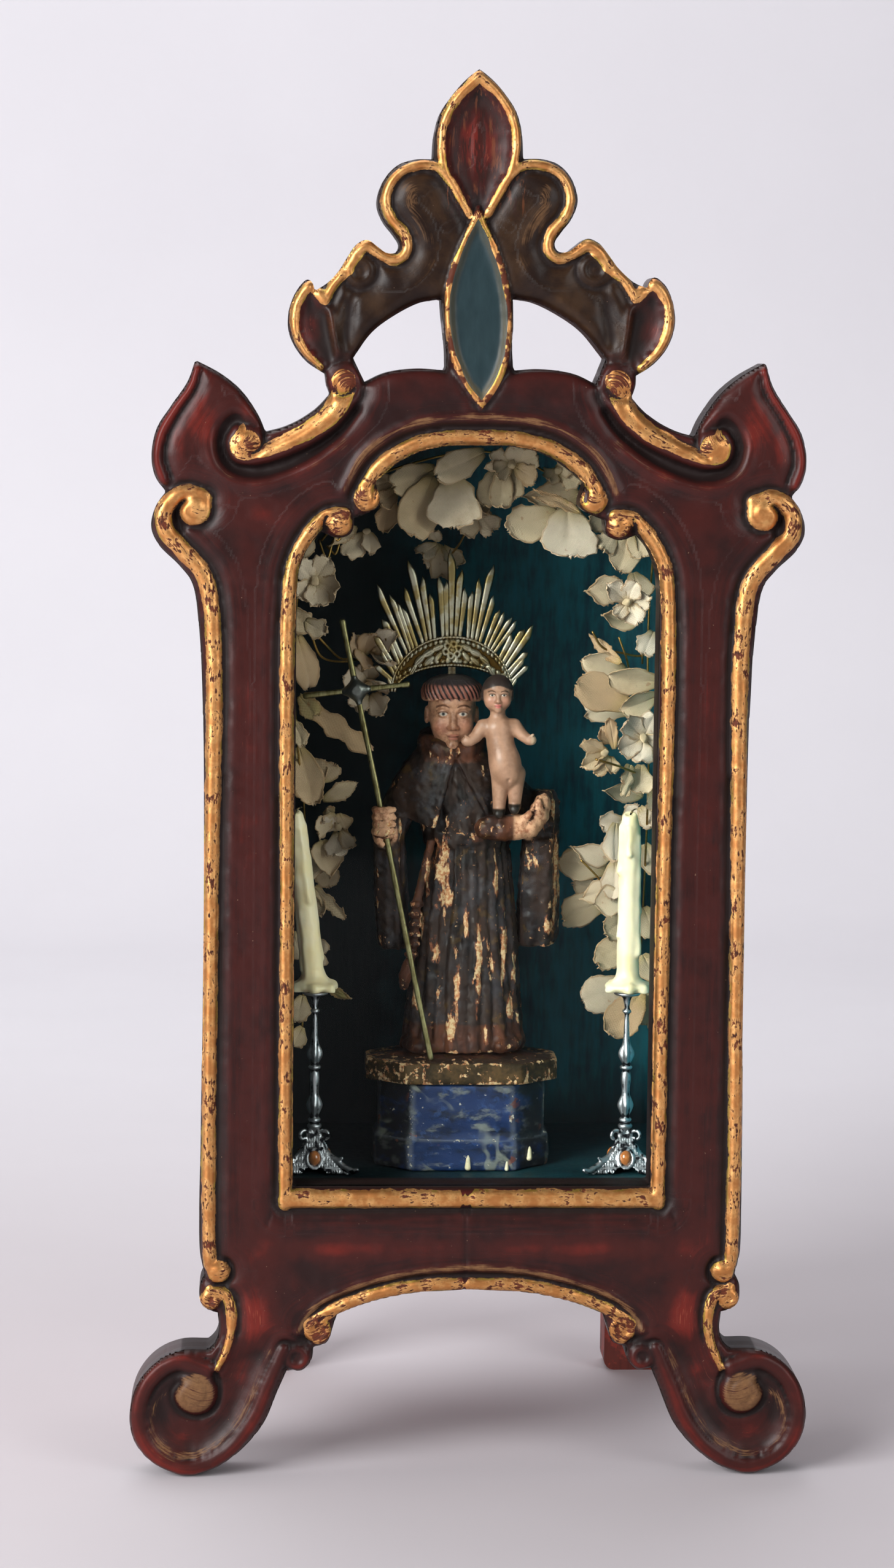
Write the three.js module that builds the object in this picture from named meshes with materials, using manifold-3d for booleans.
// Wooden house shrine: a carved and gilt front board with a glazed window, a vaulted box behind it,
// and inside it a carved saint with a child, a halo, a long cross, two candles and a garland.
// Millimetres. +Z is up, the front faces -Y, and the origin is on the floor under the middle.

import * as THREE from 'three';
import { mergeVertices } from 'three/addons/utils/BufferGeometryUtils.js';
import Module from 'manifold-3d';

const wasm = await Module();
wasm.setup();

// Driving sizes of the front board
const frontHeight = 500;
const frontWidth = 244;
const boardThickness = 22;
const reliefDepth = 6;
const crestLean = 2;

// Driving sizes of the box
const overallDepth = 160;
const caseWall = 6;
const floorThickness = 8;
const sideLift = 90;
const gap = 0.3;
const glassThickness = 2;
const glassHold = 3;
const glassMargin = 19;
const legWidth = 24;
const legDepth = 18;
const legCorner = 4;

// Driving sizes of what stands inside
const pedestalHeight = 33;
const pedestalWidth = 66;
const pedestalDepth = 38;
const pedestalStep = 12;
const stepOut = 2;
const baseThickness = 8;
const baseWidth = 72;
const baseDepth = 40;
const figureY = 4;
const saintHeight = 144;
const childHeight = 49;
const haloWidth = 46;
const haloThickness = 1.2;
const staffDiameter = 2.2;
const staffLength = 168;
const candleHeight = 68;
const candleLean = -0.12;
const candleDiameter = 8;
const drawnWaxDiameter = 17;
const stickHeight = 68;
const candleReach = [-55.5, 61];
const candleY = -14;
const blossomRadius = 11;
const petalThickness = 0.9;
const wireDiameter = 1.6;

// Places worked out from the driving sizes
const frontY = -overallDepth / 2;
const backY = overallDepth / 2;
const boardBackY = frontY + boardThickness;
const groundY = frontY + reliefDepth;
const floorTop = sideLift + floorThickness;

// Free curves of the carving are drawn on a board 500 high and 244 wide, then stretched to size.
const drawnHeight = 500;
const drawnWidth = 244;
const spread = (x, z) => [x * frontWidth / drawnWidth, z * frontHeight / drawnHeight];

// The crest was cut slightly askew: its middle leans to the left and its right side sits higher.
const leanStart = 385;
const leanRun = 40;
const leanTilt = 0.018;
function askew(x, z) {
  const up = THREE.MathUtils.clamp((z - leanStart) / leanRun, 0, 1);
  const middle = 1 - THREE.MathUtils.clamp((Math.abs(x) - leanRun) / (leanRun * 0.6), 0, 1);
  return spread(x - crestLean * up * middle, z + leanTilt * x * up);
}

const windowHalf = spread(64, 0)[0];
const vaultCentre = spread(0, 303)[1];
const paneHalf = windowHalf + glassMargin;
const innerHalf = paneHalf - glassHold;
const outerHalf = innerHalf + caseWall;
const paneBottom = floorTop - floorThickness / 2;

// Mesh helpers

// Closed solid of a three.js geometry, its faces turned outwards.
function toSolid(geometry) {
  geometry.deleteAttribute('normal');
  geometry.deleteAttribute('uv');
  const merged = mergeVertices(geometry, 1e-4);
  const index = merged.index.array;
  const solidOf = (flip) => {
    const faces = [];
    for (let i = 0; i < index.length; i += 3) {
      const [a, b, c] = [index[i], index[i + 1 + flip], index[i + 2 - flip]];
      if (a !== b && b !== c && c !== a) faces.push(a, b, c);
    }
    return new wasm.Manifold(new wasm.Mesh({
      numProp: 3,
      vertProperties: new Float32Array(merged.attributes.position.array),
      triVerts: new Uint32Array(faces),
    }));
  };
  const solid = solidOf(0);
  return solid.volume() > 0 ? solid : solidOf(1);
}

function toGeometry(solid) {
  const mesh = solid.getMesh();
  const geometry = new THREE.BufferGeometry();
  geometry.setAttribute('position', new THREE.BufferAttribute(new Float32Array(mesh.vertProperties), 3));
  geometry.setIndex(new THREE.BufferAttribute(new Uint32Array(mesh.triVerts), 1));
  return geometry;
}

const joinAll = (solids) => solids.reduce((whole, solid) => whole.add(solid));

// Pockets shut in between joined limbs are wood as well.
const filled = (solid) => joinAll(solid.decompose().filter((shell) => shell.volume() > 0));

// Skin over rings of points, all with the same count, closed at both ends.
function loft(rings) {
  const count = rings[0].length;
  const positions = rings.flat().flatMap((p) => [p.x, p.y, p.z]);
  const faces = [];
  for (let r = 0; r + 1 < rings.length; r++) {
    for (let i = 0; i < count; i++) {
      const a = r * count + i;
      const b = r * count + (i + 1) % count;
      faces.push(a, b, b + count, a, b + count, a + count);
    }
  }
  const last = (rings.length - 1) * count;
  for (let i = 1; i + 1 < count; i++) {
    faces.push(0, i + 1, i, last, last + i, last + i + 1);
  }
  const geometry = new THREE.BufferGeometry();
  geometry.setAttribute('position', new THREE.Float32BufferAttribute(positions, 3));
  geometry.setIndex(faces);
  return toSolid(geometry);
}

const vector = (x, y, z) => new THREE.Vector3(x, y, z);

// Smooth line through points, thinned to what its bends need.
function thin(points, tolerance) {
  if (points.length < 3) return points;
  const line = new THREE.Line3(points[0], points[points.length - 1]);
  const foot = new THREE.Vector3();
  let far = 0;
  let at = 0;
  for (let i = 1; i + 1 < points.length; i++) {
    const distance = line.closestPointToPoint(points[i], true, foot).distanceTo(points[i]);
    if (distance > far) [far, at] = [distance, i];
  }
  if (far <= tolerance) return [points[0], points[points.length - 1]];
  return [...thin(points.slice(0, at + 1), tolerance).slice(0, -1), ...thin(points.slice(at), tolerance)];
}

const samplesPerPoint = 8;
const outlineTolerance = 0.45;
const smoothLine = (points, tolerance) => {
  const curve = new THREE.CatmullRomCurve3(points, false, 'centripetal');
  return thin(curve.getPoints(samplesPerPoint * points.length), tolerance);
};
const flatLine = (points, tolerance = outlineTolerance) =>
  smoothLine(points.map(([x, z]) => vector(x, 0, z)), tolerance).map((p) => [p.x, p.z]);

// Stretches that meet at corners, as one line of points.
const chain = (stretches) => stretches.flatMap((s, i) => (i === 0 ? flatLine(s) : flatLine(s).slice(1)));
const mirrored = (points) => points.map(([x, z]) => [-x, z]);

// Flat outline in x and z, cut as a board between two depths.
function board(outline, holes, fromY, toY) {
  const edge = outline.map(([x, z]) => new THREE.Vector2(x, z));
  if (THREE.ShapeUtils.isClockWise(edge)) edge.reverse();
  const shape = new THREE.Shape(edge);
  shape.holes = holes.map((hole) => new THREE.Path(hole.map(([x, z]) => new THREE.Vector2(x, z))));
  const geometry = new THREE.ExtrudeGeometry(shape, { depth: toY - fromY, bevelEnabled: false });
  geometry.rotateX(Math.PI / 2).translate(0, toY, 0);
  return toSolid(geometry);
}

const block = (x0, y0, z0, x1, y1, z1) => {
  const geometry = new THREE.BoxGeometry(x1 - x0, y1 - y0, z1 - z0);
  return toSolid(geometry.translate((x0 + x1) / 2, (y0 + y1) / 2, (z0 + z1) / 2));
};

const ball = (x, y, z, rx, ry, rz, around = 12, along = 8) => {
  const geometry = new THREE.SphereGeometry(1, around, along);
  return toSolid(geometry.rotateX(Math.PI / 2).scale(rx, ry, rz).translate(x, y, z));
};

// Turned profile of [radius, height] rows, standing on the axis through x and y.
const turned = (profile, x, y, segments = 12) => {
  const geometry = new THREE.LatheGeometry(profile.map(([r, h]) => new THREE.Vector2(r, h)), segments);
  return geometry.rotateX(Math.PI / 2).translate(x, y, 0);
};

// Round limb through [x, y, z, radius] rows.
function limb(rows, sides = 8) {
  const points = rows.map(([x, y, z]) => vector(x, y, z));
  const rings = rows.map(([, , , radius], i) => {
    const ahead = points[Math.min(i + 1, points.length - 1)];
    const behind = points[Math.max(i - 1, 0)];
    const along = ahead.clone().sub(behind).normalize();
    const turn = new THREE.Quaternion().setFromUnitVectors(vector(0, 0, 1), along);
    return Array.from({ length: sides }, (_, k) => {
      const angle = 2 * Math.PI * k / sides;
      const rim = vector(radius * Math.cos(angle), radius * Math.sin(angle), 0);
      return rim.applyQuaternion(turn).add(points[i]);
    });
  });
  return loft(rings);
}

// Outline of the front board, right half from the tip down to the middle of the arch

const outlineStretches = [
  [[0, 500], [4.5, 496.5], [9, 491.5], [13, 485.5], [15, 478], [15.6, 469.3]],
  [[15.6, 469.3], [22, 469.2], [28, 467.3], [32.5, 462.5], [34.8, 455], [33, 449], [28.5, 443],
    [26.9, 440], [28.2, 437.4], [31.5, 437.2], [35, 439.6], [38.3, 441.8], [42, 440.4], [45, 436.6],
    [48.5, 431.5], [52.5, 427.5], [57.8, 424.3]],
  [[57.8, 424.3], [58.7, 427], [60.5, 428.4], [64, 425.5], [67, 418.5], [67.4, 411], [65, 404.5],
    [60.5, 399], [54.3, 394.9]],
  [[54.3, 394.9], [54, 391.5], [52.7, 387.6]],
  [[52.7, 387.6], [57, 383], [63, 378.7], [69, 375.9], [75.2, 374.2]],
  [[75.2, 374.2], [77.7, 380], [84, 389], [91, 394.8], [99.7, 399.6]],
  [[99.7, 399.6], [102.3, 392], [108, 383.2], [113, 375.3], [114.8, 366], [113.6, 358.7], [109.8, 353.2]],
  [[109.8, 353.2], [113.3, 348.2], [114.9, 341], [112.3, 334.8], [105, 327.5], [100.6, 321.5],
    [98.2, 307], [96.6, 275], [96.1, 230], [96.3, 175], [96.9, 125], [97, 82], [95.3, 74]],
  [[95.3, 74], [97, 70], [96.9, 64.5], [94.5, 61.2], [90.7, 59.8]],
  [[90.7, 59.8], [90.1, 54], [91.4, 49], [94, 46.3]],
  [[94, 46.3], [104, 46], [113, 41.8], [119.5, 33.5], [122, 22], [120, 12], [114, 5], [105, 0.5]],
];
const soleStretch = [[105, 0], [98, 0]];
const instepStretches = [
  [[98, 0.5], [90, 3.2], [81, 10.2], [74, 19], [69, 31], [65.5, 39.2]],
  [[65.5, 39.2], [60.5, 38.5], [57, 42.3], [56.2, 47.2]],
  [[56.2, 47.2], [51.5, 48.7], [49.6, 54], [47.7, 59.5]],
  [[47.7, 59.5], [38, 63.1], [26, 66.1], [12, 67.7], [0, 68.2]],
];
const rightOutline = [...chain(outlineStretches), ...soleStretch, ...chain(instepStretches)];
const outline = [...rightOutline, ...mirrored(rightOutline.slice(1, -1)).reverse()]
  .map(([x, z]) => askew(x, z));

const crestHole = chain([
  [[11.8, 396.4], [11.6, 404], [12.3, 414], [12.6, 421.3]],
  [[12.6, 421.3], [20, 420], [29, 415.6], [37, 409.8], [44.2, 400.6]],
  [[44.2, 400.6], [40.4, 392]],
  [[40.4, 392], [33, 395.4], [22, 397], [11.8, 396.4]],
]).slice(0, -1);

const rightWindow = chain([
  [[64, 106], [64, 318]],
  [[64, 318], [63, 327], [60, 334.3], [55.6, 339.7]],
  [[55.6, 339.7], [49.5, 337.6], [45, 339.4], [43.9, 344.6]],
  [[43.9, 344.6], [39.6, 346.3], [35.2, 349.3], [36.8, 357.5]],
  [[36.8, 357.5], [29, 363.8], [20, 368.3], [10, 370.2], [0, 370.4]],
]);
const windowOutline = [...rightWindow, ...mirrored(rightWindow.slice(0, -1)).reverse()]
  .map(([x, z]) => spread(x, z));

// Raised bands of the carving: a centre line, a width at each end, and how far the crown stands
// off the sunken ground. Bands are drawn on the right half and mirrored.

const rimRise = 5;
const fieldRise = 4;
const ridgeRise = 3;
const bandRoot = 1.5;
const bandTolerance = 1;
const crownShare = 0.55;

const bands = {
  finialRim: [[[0, 497.6], [7.4, 490.5], [12.4, 481], [12.6, 469], [8, 458], [2.6, 449.5]], 3, 3, rimRise],
  finialFlute: [[[4.6, 482], [4.4, 468], [2, 453]], 4.5, 2, ridgeRise],
  lobeRim: [[[3.4, 450.5], [10, 462], [15, 466.6], [22, 467], [28.5, 463.6], [32, 456.5], [30.5, 449.6],
    [25.6, 443.6], [24.6, 438], [28, 434.8], [33.5, 436.6], [38.3, 439.7], [43.5, 435.4]], 3.2, 3.2, rimRise],
  lobeFinger: [[[24, 459], [23.5, 452], [18.5, 444], [18, 434], [26, 427.5], [37, 421], [46, 410],
    [48.5, 401]], 8, 10, fieldRise],
  biteRim: [[[45.5, 431], [50.5, 428], [54.6, 422.5]], 3, 3, rimRise],
  leafRim: [[[54.6, 422.5], [59.8, 426], [64.2, 420.5], [65.4, 411.5], [62, 403.5], [56, 397.4]], 3, 3,
    rimRise],
  leafFold: [[[53.5, 420], [51.5, 410], [50, 400]], 3, 3, rimRise],
  shoulderScroll: [[[46.5, 389.5], [50.5, 382], [58, 375.6], [67, 370.9], [77, 366.9], [84.6, 366.2],
    [87, 370.4], [84.6, 374.4]], 6.8, 3, rimRise],
  shoulderRidge: [[[81, 384.5], [91, 381], [95, 371], [91, 361], [80, 357.5], [68, 359], [57, 364.5],
    [47, 375.5], [38, 382.5], [24, 387.5], [0, 388.5]], 4, 8, fieldRise],
  earRim: [[[99.2, 397], [101, 390], [106, 382], [111, 373.6], [112.5, 365], [110.5, 357.6]], 2.5, 4,
    rimRise],
  volute: [[[88.5, 76.5], [92.6, 77], [93.6, 84], [93.6, 200], [93.6, 312], [96.5, 324.5], [104, 333.5],
    [110.4, 341], [109.6, 348.2], [103, 352.9], [96.8, 351.2]], 5, 6.5, rimRise],
  windowBand: [[[66.8, 100.5], [66.8, 200], [66.8, 316], [65, 329], [59.5, 339.5], [53, 345.6],
    [47.5, 346]], 5, 5, rimRise],
  windowRidge: [[[47.5, 351.5], [56, 350], [64.5, 343], [70.5, 330], [72, 315]], 3, 2.5, ridgeRise],
  archBand: [[[0, 373.2], [13, 372.7], [25, 369.6], [35, 362.8], [40.2, 355]], 5.5, 6, rimRise],
  archRidge: [[[0, 380.3], [17, 379.2], [31, 374.6], [41.5, 366], [47.5, 354.5]], 4, 3, ridgeRise],
  stileField: [[[80.5, 342], [80, 300], [80, 180], [80, 62]], 15, 15, fieldRise],
  railField: [[[0, 88.5], [72, 88.5]], 15, 15, fieldRise],
  sillBand: [[[0, 101.8], [69, 101.8]], 6.6, 6.6, rimRise],
  footArchBand: [[[0, 70.8], [18, 70.2], [35, 66.9], [50, 61], [57.6, 56]], 5, 4.6, rimRise],
  footArchRidge: [[[0, 77.4], [20, 75.6], [40, 70.6], [55, 63.5], [61.8, 54]], 3.6, 3, ridgeRise],
  ankleStrip: [[[93, 68.6], [87.6, 66.5], [85.6, 58], [87, 48.5], [91.5, 40]], 4.5, 3, rimRise],
  footRim: [[[66.5, 49], [72, 36.5], [78.6, 20.5], [88, 8.8], [101, 3.9], [113, 9.2], [118.4, 21.5],
    [115, 34.5], [105.5, 41.8], [95, 38.8]], 4.5, 7, rimRise],
  shinField: [[[78, 66], [78, 52], [82.5, 36]], 12, 8, fieldRise],
};

// Rounded ends of the scrolls: middle and radius of each dome.
const domes = [
  [47.8, 392.3, 5.2], [81.6, 370, 5], [100.2, 347, 5.9], [49.3, 342.8, 5.1], [39.8, 351.8, 5.1],
  [91, 75.8, 4.2], [93.2, 65.2, 3.9], [54.5, 53, 4.9], [62.2, 43.6, 4.8], [98.6, 30, 6.3], [41.6, 430.4, 3.6],
];
const domeSides = 7;
const domeTop = 0.75;

// A band is a bar with sloping sides swept along its centre line.
function sweptBand([points, startWidth, endWidth, rise], place) {
  const line = flatLine(points, bandTolerance);
  const rings = line.map(([x, z], i) => {
    const [xa, za] = line[Math.max(i - 1, 0)];
    const [xb, zb] = line[Math.min(i + 1, line.length - 1)];
    const length = Math.hypot(xb - xa, zb - za);
    const side = [(zb - za) / length, -(xb - xa) / length];
    const half = THREE.MathUtils.lerp(startWidth, endWidth, i / (line.length - 1)) / 2;
    const corner = (across, y) => {
      const [px, pz] = place(x + side[0] * across, z + side[1] * across);
      return vector(px, y, pz);
    };
    const root = groundY + bandRoot;
    const crown = groundY - rise;
    return [corner(-half, root), corner(-half * crownShare, crown), corner(half * crownShare, crown),
      corner(half, root)];
  });
  return loft(rings);
}

function dome([x, z, radius], place) {
  const profile = [[0, -bandRoot], [radius, -bandRoot], [radius * domeTop, rimRise], [0, reliefDepth]];
  const [px, pz] = place(x, z);
  const points = profile.map(([r, h]) => new THREE.Vector2(r, h));
  const geometry = new THREE.LatheGeometry(points, domeSides).rotateX(Math.PI);
  return toSolid(geometry.translate(px, groundY, pz));
}

const lozengeRight = flatLine([[0, 453], [5.6, 442], [10.6, 428], [12, 415], [10.6, 402], [6.5, 391.5],
  [0, 382.6]]);
const lozengeInset = 0.82;
const lozengeMiddle = 417;
const lozengeDepth = 1.8;
const overrun = 1;

function frontBoard() {
  const holes = [windowOutline, crestHole.map(([x, z]) => askew(x, z)),
    mirrored(crestHole).map(([x, z]) => askew(x, z))];
  const body = board(outline, holes, groundY, boardBackY);
  const trim = board(outline, holes, frontY, groundY + bandRoot);
  const left = (x, z) => askew(-x, z);
  const raised = [];
  for (const band of Object.values(bands)) {
    raised.push(sweptBand(band, askew), sweptBand(band, left));
  }
  for (const middle of domes) raised.push(dome(middle, askew), dome(middle, left));
  const lozenge = [...lozengeRight, ...mirrored(lozengeRight.slice(1, -1)).reverse()];
  const inset = lozenge.map(([x, z]) =>
    [x * lozengeInset, lozengeMiddle + (z - lozengeMiddle) * lozengeInset]);
  raised.push(board(lozenge.map(([x, z]) => askew(x, z)), [], groundY - rimRise, groundY + bandRoot));
  const panel = board(inset.map(([x, z]) => askew(x, z)), [], frontY - overrun,
    frontY + lozengeDepth);
  const rebate = board(vaultOutline(paneHalf + gap, paneBottom - gap), [],
    boardBackY - glassThickness - 2 * gap, boardBackY + overrun);
  return body.add(joinAll(raised).intersect(trim)).subtract(panel).subtract(rebate);
}

// Upright sides with a half-round head, as the pane, the back board and the vault share it.
const headSides = 16;
function vaultOutline(half, bottom) {
  const head = Array.from({ length: headSides + 1 }, (_, i) => {
    const angle = Math.PI * i / headSides;
    return [half * Math.cos(angle), vaultCentre + half * Math.sin(angle)];
  });
  return [[-half, bottom], [half, bottom], ...head];
}

function pane() {
  const back = boardBackY - gap;
  return board(vaultOutline(paneHalf, paneBottom), [], back - glassThickness, back);
}

// The box: boards that butt with a hair's breadth between them

const boxFront = boardBackY + gap;
const boxBack = backY - caseWall;

function vault() {
  const arch = (radius, turnedBack) => {
    const rim = vaultOutline(radius, vaultCentre).slice(2);
    return turnedBack ? rim.reverse() : rim;
  };
  return board([...arch(outerHalf, false), ...arch(innerHalf, true)], [], boxFront, boxBack - gap);
}

const sideBoard = (side) => {
  const xs = [side * innerHalf, side * outerHalf].sort((a, b) => a - b);
  return block(xs[0], boxFront, sideLift, xs[1], boxBack - gap, vaultCentre - gap);
};

const floorBoard = () =>
  block(-innerHalf + gap, boxFront, sideLift, innerHalf - gap, boxBack - gap, floorTop);

const backBoard = () => board(vaultOutline(outerHalf, sideLift), [], boxBack, backY);

// The legs stand under the back corners, with the lower inner corner rounded off.
const cornerSides = 4;
function backLeg(side) {
  const top = sideLift - gap;
  const inner = outerHalf - legWidth;
  const corner = Array.from({ length: cornerSides + 1 }, (_, i) => {
    const angle = Math.PI / 2 * i / cornerSides;
    return [inner + legCorner * (1 - Math.cos(angle)), legCorner * (1 - Math.sin(angle))];
  });
  const right = [[outerHalf, 0], [outerHalf, top], [inner, top], ...corner];
  const points = side > 0 ? right : mirrored(right).reverse();
  return board(points, [], backY - legDepth, backY);
}

// Block with its corners cut off, between two heights.
const cornerShare = [0.2, 0.3];
function octagon(width, depth, fromZ, toZ) {
  const cutX = width * cornerShare[0];
  const cutY = depth * cornerShare[1];
  const [hx, hy] = [width / 2, depth / 2];
  const plan = [[hx - cutX, -hy], [hx, -hy + cutY], [hx, hy - cutY], [hx - cutX, hy],
    [-hx + cutX, hy], [-hx, hy - cutY], [-hx, -hy + cutY], [-hx + cutX, -hy]];
  const shape = new THREE.Shape(plan.map(([x, y]) => new THREE.Vector2(x, y)));
  const geometry = new THREE.ExtrudeGeometry(shape, { depth: toZ - fromZ, bevelEnabled: false });
  return toSolid(geometry.translate(0, figureY, fromZ));
}

const pedestalBottom = floorTop + gap;
const pedestalTop = pedestalBottom + pedestalHeight - 2 * gap;
const baseBottom = pedestalTop + gap;
const baseTop = baseBottom + baseThickness;

function pedestal() {
  const step = octagon(pedestalWidth, pedestalDepth, pedestalBottom, pedestalBottom + pedestalStep);
  const upperWidth = pedestalWidth - 2 * stepOut;
  return step.add(octagon(upperWidth, pedestalDepth - stepOut, pedestalBottom, pedestalTop));
}

// The saint, drawn 144 high from the top of the base

const drawnSaint = 144;
const grow = saintHeight / drawnSaint;
const saintPoint = (x, y, z) => [x * grow, figureY + y * grow, baseTop + z * grow];
const saintLimb = (rows, sides) =>
  limb(rows.map(([x, y, z, r]) => [...saintPoint(x, y, z), r * grow]), sides);
const saintBall = (x, y, z, rx, ry, rz, around, along) =>
  ball(...saintPoint(x, y, z), rx * grow, ry * grow, rz * grow, around, along);

// Cloth body: oval rings of [height, middle x, middle y, half width, half depth, fold depth].
function draped(rows, folds, around) {
  const rings = rows.map(([z, cx, cy, rx, ry, fold]) =>
    Array.from({ length: around }, (_, k) => {
      const angle = 2 * Math.PI * k / around;
      const out = 1 + fold * Math.cos(folds * angle);
      return vector(...saintPoint(cx + rx * out * Math.cos(angle), cy + ry * out * Math.sin(angle), z));
    }));
  return loft(rings);
}

function saint() {
  const base = octagon(baseWidth, baseDepth, baseBottom, baseTop);
  const habit = draped([[-1, 0, 1, 22, 14, 0.07], [12, 0, 1, 22, 14, 0.08], [45, 1, 1, 20, 13, 0.07],
    [83, 1.5, 1, 17, 11.5, 0.03]], 7, 28);
  const chest = draped([[80, 1.5, 1, 16.5, 11, 0], [95, 0, 1, 20, 11.5, 0], [105, -3, 2, 19, 10.5, 0],
    [112, -4.5, 2.5, 12, 8.5, 0], [117, -4.5, 2, 8, 7, 0]], 1, 12);
  const belt = draped([[80, 1.5, 1, 17.6, 12.2, 0], [84, 1.5, 1, 17.6, 12.2, 0]], 1, 14);
  const cape = draped([[86, -1, 2, 25, 13, 0.04], [96, -2, 2, 24, 13, 0.04], [106, -4, 2.5, 20, 12, 0.02],
    [113, -4.5, 3, 13, 10, 0], [115, -4.5, 3, 10, 8, 0]], 5, 20);
  const collar = draped([[110, -4.5, 2, 12.5, 9.5, 0], [114, -4.5, 1.5, 12.5, 10, 0],
    [118, -4.5, 3, 10, 8, 0]], 1, 14);
  const head = saintBall(-4.8, 0, 129, 9.6, 9.8, 14.4, 10, 7);
  const hairRing = draped([[134, -4.8, 1, 10.6, 11, 0.03], [137, -4.8, 1, 10.9, 11.2, 0.03],
    [140, -4.8, 1, 9.6, 10, 0.03]], 5, 15);
  const nose = saintLimb([[-4.8, -8.6, 132, 1], [-4.8, -10.6, 126.5, 1.7], [-4.8, -8.8, 125, 1.2]], 6);
  const rightArm = saintLimb([[-22, 2, 100, 6], [-28, 1, 84, 7], [-30.5, -6, 86, 5], [-31, -12, 90, 3.6]], 6);
  const rightSleeve = saintLimb([[-29, -6, 91, 3], [-28, -2, 84, 6.5], [-27, 1, 65, 6.5],
    [-27, 2, 42, 5.5]], 6);
  const rightFist = saintLimb([[-30.6, -12.5, 85, 3.2], [-30.6, -13, 90, 4.6], [-30.6, -13, 96, 4.6]], 6);
  const leftArm = saintLimb([[17, 2, 101, 6], [27, 1, 88, 6.5], [24, -6, 86, 5], [12, -12, 87, 4]], 6);
  const leftSleeve = saintLimb([[26, 0, 94, 5], [29, 0, 82, 6.6], [30, 1, 62, 6.5], [30, 2, 43, 5]], 6);
  const book = saintLimb([[4, -12, 87.5, 3.4], [14, -13, 87, 4], [24, -12, 86, 4.6]], 6);
  const leftHand = saintLimb([[22, -12, 85, 3.4], [26, -11, 90, 4.8], [28, -8, 99, 3.8]], 6);
  const cordEnd = saintLimb([[-13, -8, 80, 2], [-16.5, -5, 60, 2.2], [-19, -3, 40, 2.2],
    [-20.6, -2, 27, 3]], 6);
  const parts = [base, habit, chest, belt, cape, collar, head, hairRing, nose, rightArm, rightSleeve,
    rightFist, leftArm, leftSleeve, book, leftHand, cordEnd];
  return filled(joinAll(parts)).subtract(staffBore());
}

// The long cross leans from the base to the left, through the fist

const staffFoot = saintPoint(-12, -17, 1);
const staffFist = saintPoint(-30.6, -13, 90);
const staffLine = vector(...staffFist).sub(vector(...staffFoot)).normalize();
const staffTurn = new THREE.Quaternion().setFromUnitVectors(vector(0, 0, 1), staffLine);
const barShare = 0.84;
const barTurn = 0.12;
const barReach = 20;
const rodSides = 5;

function rod(radius, from, to) {
  const geometry = new THREE.CylinderGeometry(radius, radius, to - from, rodSides);
  geometry.rotateX(Math.PI / 2).translate(0, 0, (from + to) / 2);
  return geometry.applyQuaternion(staffTurn).translate(...staffFoot);
}

const staffBore = () => toSolid(rod(staffDiameter / 2 + gap, -0.5, staffLength));

function crossStaff() {
  const shaft = toSolid(rod(staffDiameter / 2, 0, staffLength));
  const height = staffLength * barShare;
  const bar = new THREE.CylinderGeometry(staffDiameter / 2, staffDiameter / 2, 2 * barReach, rodSides);
  bar.rotateZ(Math.PI / 2 + barTurn);
  bar.translate(...vector(...staffFoot).addScaledVector(staffLine, height).toArray());
  const knot = vector(...staffFoot).addScaledVector(staffLine, height);
  return joinAll([shaft, toSolid(bar), ball(knot.x, knot.y, knot.z, 2.6, 1.6, 2.6, 6, 4)]);
}

// The child, drawn 49 high from the soles

const drawnChild = 49;
const childSize = childHeight / drawnChild;
const childFeet = saintPoint(14.4, -14, 92.2);
const childPoint = (x, y, z) =>
  [childFeet[0] + x * childSize, childFeet[1] + y * childSize, childFeet[2] + gap + z * childSize];
const childLimb = (rows, sides) =>
  limb(rows.map(([x, y, z, r]) => [...childPoint(x, y, z), r * childSize]), sides);

function child() {
  const trunk = childLimb([[0, 0, 13, 4.6], [-0.8, 0, 19, 5.3], [-2.4, 0, 27, 6], [-3.4, 0, 32, 5.6],
    [-3.6, 0, 35.2, 3]], 9);
  const legs = [[-1.9, -0.8], [3.1, 0.9]].map(([x, lift]) =>
    childLimb([[x, 0, lift + 0.8, 1.9], [x, 0, 6 + lift, 2.5], [x * 0.7, 0, 15, 3.2]], 7));
  const leftArm = childLimb([[0.6, -0.5, 31.5, 2.6], [4.4, -1, 27.6, 2.3], [8.6, -2, 25.8, 1.6]], 6);
  const rightArm = childLimb([[-6.6, -0.5, 31, 2.6], [-9.8, -2, 26.5, 2.2], [-13.4, -2.6, 25.8, 1.6]], 6);
  const neck = childLimb([[-3.6, 0, 33, 2.6], [-3.4, 0, 38, 2.4]], 6);
  const face = ball(...childPoint(-3.2, 0, 42), 5 * childSize, 5.2 * childSize, 6.6 * childSize, 10, 6);
  return filled(joinAll([trunk, ...legs, leftArm, rightArm, neck, face]));
}

// The halo: a crescent with bundles of rays, held by a short tang in the crown of the head

const drawnHalo = 46;
const haloSize = haloWidth / drawnHalo;
const haloY = figureY + 3.4 * grow;
const headTop = baseTop + drawnSaint * grow;
const haloLow = -7;
const arcPoints = 11;
const rayHalfAngle = 0.13;
// Each bundle of rays: its direction in degrees and how far it reaches from the middle.
const rayBundles = [[20, 30], [41, 37], [56, 35], [74, 47], [91, 48], [110, 49], [126, 47], [142, 38],
  [161, 29]];
const haloPlace = ([x, z]) => [-4.8 * grow + x * haloSize, headTop + z * haloSize];

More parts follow.
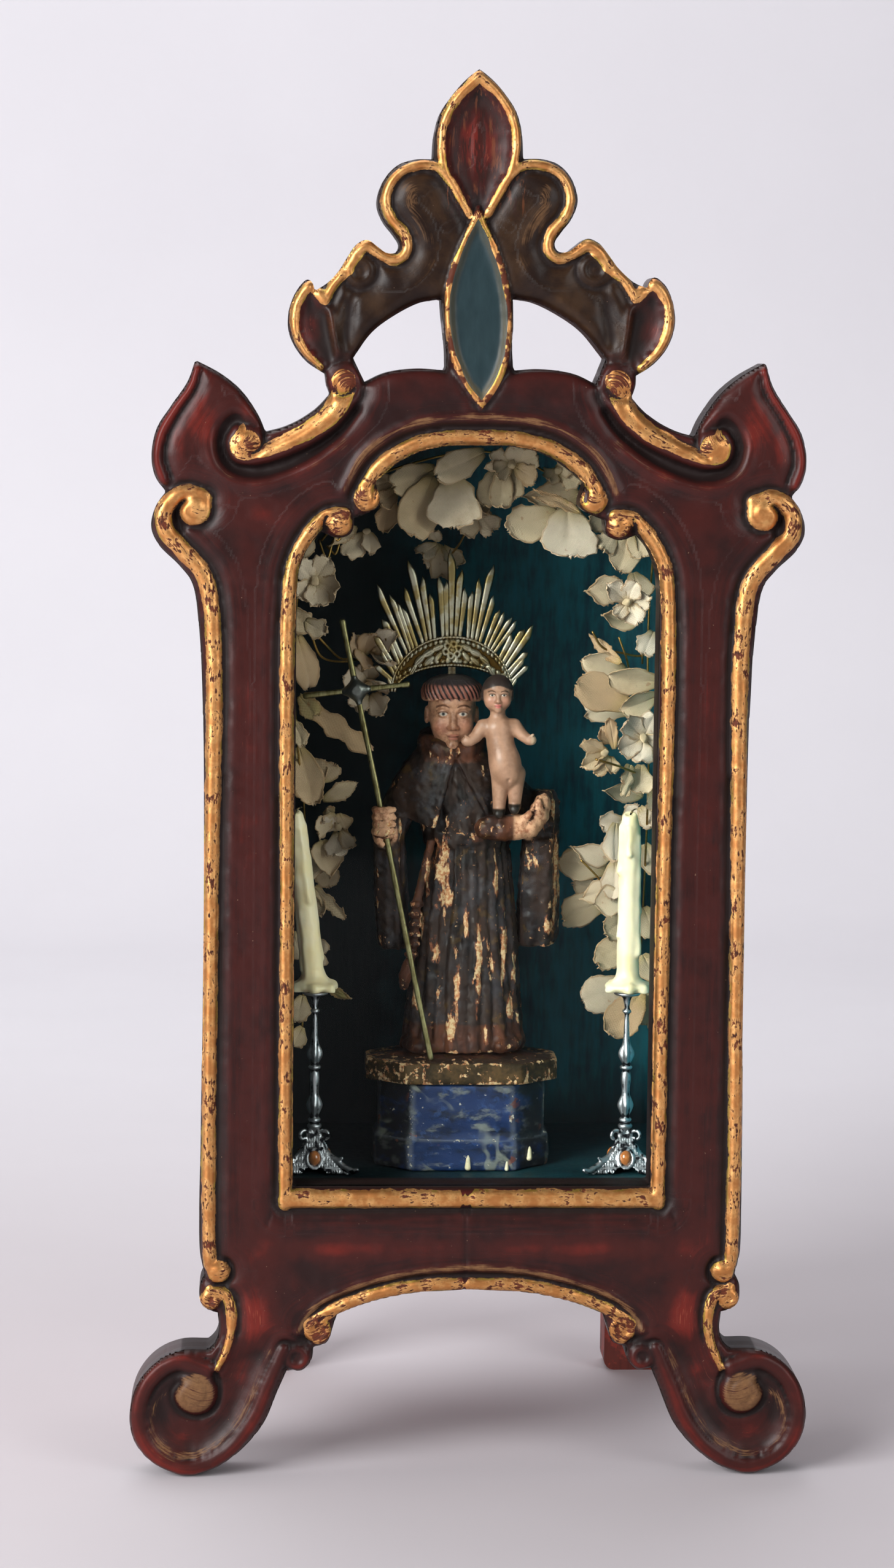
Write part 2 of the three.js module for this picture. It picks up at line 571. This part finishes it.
function halo() {
  const arc = (radiusX, radiusZ, low, from, to) => Array.from({ length: arcPoints }, (_, i) => {
    const angle = THREE.MathUtils.lerp(from, to, i / (arcPoints - 1));
    return [radiusX * Math.cos(angle), low + radiusZ * Math.sin(angle)];
  });
  const tilt = 0.04;
  const crescent = [...arc(23, 21.5, haloLow, tilt, Math.PI - tilt),
    ...arc(21, 10, haloLow, Math.PI - tilt, tilt)];
  const sheet = (points) =>
    board(points.map(haloPlace), [], haloY - haloThickness / 2, haloY + haloThickness / 2);
  const parts = [sheet(crescent)];
  for (const [degrees, reach] of rayBundles) {
    const angle = THREE.MathUtils.degToRad(degrees);
    const at = (turn, radius) => [radius * Math.cos(angle + turn), haloLow + radius * Math.sin(angle + turn)];
    const half = rayHalfAngle;
    parts.push(sheet([at(half, 19), at(half * 0.8, reach * 0.8), at(half * 0.3, reach * 0.85),
      at(0, reach), at(-half * 0.4, reach * 0.84), at(-half * 0.8, reach * 0.74), at(-half, 19)]));
  }
  parts.push(sheet([[-1.4, 0.5], [1.4, 0.5], [1.4, 4], [-1.4, 4]]));
  return joinAll(parts);
}

// Candlesticks: a three-scroll foot, a baluster stem and a drip pan, drawn 68 high

const drawnStick = 68;

function candlestick(x) {
  const bottom = floorTop + gap;
  const share = stickHeight / drawnStick;
  const profile = [[0, 8], [3.2, 8], [1.5, 19], [2.6, 24], [1.6, 28], [2.8, 38], [1.3, 42], [1.1, 56],
    [2.4, 60], [1.4, 63], [5, 67], [5, 68], [0, 68]];
  const stem = turned(profile.map(([r, h]) => [r, bottom + h * share]), x, candleY, 7);
  const parts = [toSolid(stem)];
  for (let k = 0; k < 3; k++) {
    const angle = Math.PI / 2 + 2 * Math.PI * k / 3;
    const [c, s] = [Math.cos(angle), Math.sin(angle)];
    const toe = (out, up, radius) => [x + c * out, candleY + s * out, bottom + up * share, radius];
    const rows = [toe(1, 17, 1.6), toe(6, 15, 2.2), toe(9, 7, 2.2), toe(14, 2.2, 2.1), toe(16.5, 4, 1.4)];
    parts.push(limb(rows, 4));
  }
  return joinAll(parts);
}

const candleSides = 10;
function candle(x) {
  const bottom = floorTop + 2 * gap + stickHeight;
  const r = candleDiameter / 2;
  const pool = drawnWaxDiameter / 2;
  const lean = x < 0 ? candleLean : 0;
  const rows = [[0, 0], [pool * 0.8, 0], [pool, 2], [pool * 0.92, 4.6], [r * 1.3, 6.4], [r, 9],
    [r * 0.94, candleHeight - 3], [r * 0.5, candleHeight], [0, candleHeight]];
  const geometry = turned(rows, 0, 0, candleSides);
  const shear = new THREE.Matrix4().set(1, 0, lean, x, 0, 1, 0, candleY, 0, 0, 1, bottom, 0, 0, 0, 1);
  return toSolid(geometry.applyMatrix4(shear));
}

// Garland: fabric blossoms of rounded petals on bent wires, fixed along the walls and the vault

const leftBlossoms = [[-58, -30, 320], [-39, 24, 297], [-43, 24, 278], [-61, 4, 256], [-53, 18, 229],
  [-61, 20, 204]];
const rightBlossoms = [[58, -34, 318], [61, -8, 298], [49, -32, 279], [61, -28, 260], [54, 10, 241],
  [60, 12, 221], [46, 18, 205], [61, 20, 188], [46, 20, 171], [61, 18, 154]];
const topBlossoms = [[-40, -32, 345], [-21, -38, 353], [-3, -30, 357], [12, -40, 350], [29, -34, 345],
  [43, -18, 343], [-9, 18, 335]];

// Places are drawn in a box 80 wide to each side whose vault springs 303 up. In another box they stay
// as far from the vault above its springing, and share out the height below it.
const drawnInner = 80;
const drawnSpring = 303;
function hung([x, y, z]) {
  const below = (vaultCentre - floorTop) / (drawnSpring - floorTop);
  const height = z > drawnSpring ? z - drawnSpring + vaultCentre : floorTop + (z - floorTop) * below;
  return [x * innerHalf / drawnInner, y, height];
}

// A blossom is a shallow cup whose rim is drawn in between its rounded petals.
const petalCount = 5;
const rimSides = 10;
const cupShare = 0.35;
const drawnIn = 0.32;
const blossomTurn = 0.8;
const blossomNod = 0.3;
function blossom([x, y, z], turn) {
  const cup = blossomRadius * cupShare;
  const profile = [[0, 0], [blossomRadius, cup], [blossomRadius, cup + petalThickness], [0, petalThickness]];
  const points = profile.map(([r, h]) => new THREE.Vector2(r, h));
  const geometry = new THREE.LatheGeometry(points, rimSides).rotateX(Math.PI / 2);
  const spots = geometry.attributes.position;
  for (let i = 0; i < spots.count; i++) {
    const angle = Math.atan2(spots.getY(i), spots.getX(i));
    const reach = 1 - drawnIn + drawnIn * Math.abs(Math.cos(angle * petalCount / 2));
    spots.setXY(i, spots.getX(i) * reach, spots.getY(i) * reach);
  }
  geometry.rotateZ(turn).rotateX(Math.PI / 2 + blossomNod * Math.sin(turn * 3)).translate(x, y, z);
  return toSolid(geometry);
}

function garland(drawnPlaces) {
  const places = drawnPlaces.map(hung);
  const stem = limb(places.map((place) => [...place, wireDiameter / 2]), 4);
  const parts = places.map((place, i) => blossom(place, i * blossomTurn));
  return filled(joinAll([stem, ...parts]));
}

// Materials

const finish = (color, roughness, metalness) =>
  new THREE.MeshStandardMaterial({ color, roughness, metalness });
const maroonPaint = finish(0x4a1c18, 0.5, 0);
const orangePaint = finish(0xb4402a, 0.55, 0);
const tealPaint = finish(0x0c4552, 0.6, 0);
const clearGlass = new THREE.MeshStandardMaterial({
  color: 0xe8f2ee, roughness: 0.05, metalness: 0, transparent: true, opacity: 0.2,
});
const marbledBlue = finish(0x23366b, 0.5, 0);
const darkHabit = finish(0x2b211d, 0.6, 0);
const fleshPaint = finish(0xcf9a84, 0.5, 0);
const giltSilver = finish(0x9a8a5c, 0.35, 1);
const oldBrass = finish(0x8b8355, 0.4, 1);
const pewter = finish(0xa9aaad, 0.3, 1);
const wax = finish(0xe8e2b6, 0.5, 0);
const silkCloth = finish(0xd9cfb8, 0.9, 0);

// The object

const shrine = new THREE.Group();
function add(name, solid, material) {
  const mesh = new THREE.Mesh(toGeometry(solid), material.clone());
  mesh.name = name;
  shrine.add(mesh);
}

add('carved_front', frontBoard(), maroonPaint);
add('window_glass', pane(), clearGlass);
add('case_floor', floorBoard(), tealPaint);
add('case_side_left', sideBoard(-1), orangePaint);
add('case_side_right', sideBoard(1), orangePaint);
add('case_vault', vault(), orangePaint);
add('case_back', backBoard(), orangePaint);
add('back_leg_left', backLeg(-1), orangePaint);
add('back_leg_right', backLeg(1), orangePaint);
add('blue_pedestal', pedestal(), marbledBlue);
add('saint_figure', saint(), darkHabit);
add('child_figure', child(), fleshPaint);
add('halo', halo(), giltSilver);
add('cross_staff', crossStaff(), oldBrass);
add('candlestick_left', candlestick(candleReach[0]), pewter);
add('candlestick_right', candlestick(candleReach[1]), pewter);
add('candle_left', candle(candleReach[0]), wax);
add('candle_right', candle(candleReach[1]), wax);
add('garland_left', garland(leftBlossoms), silkCloth);
add('garland_right', garland(rightBlossoms), silkCloth);
add('garland_top', garland(topBlossoms), silkCloth);

export default shrine;
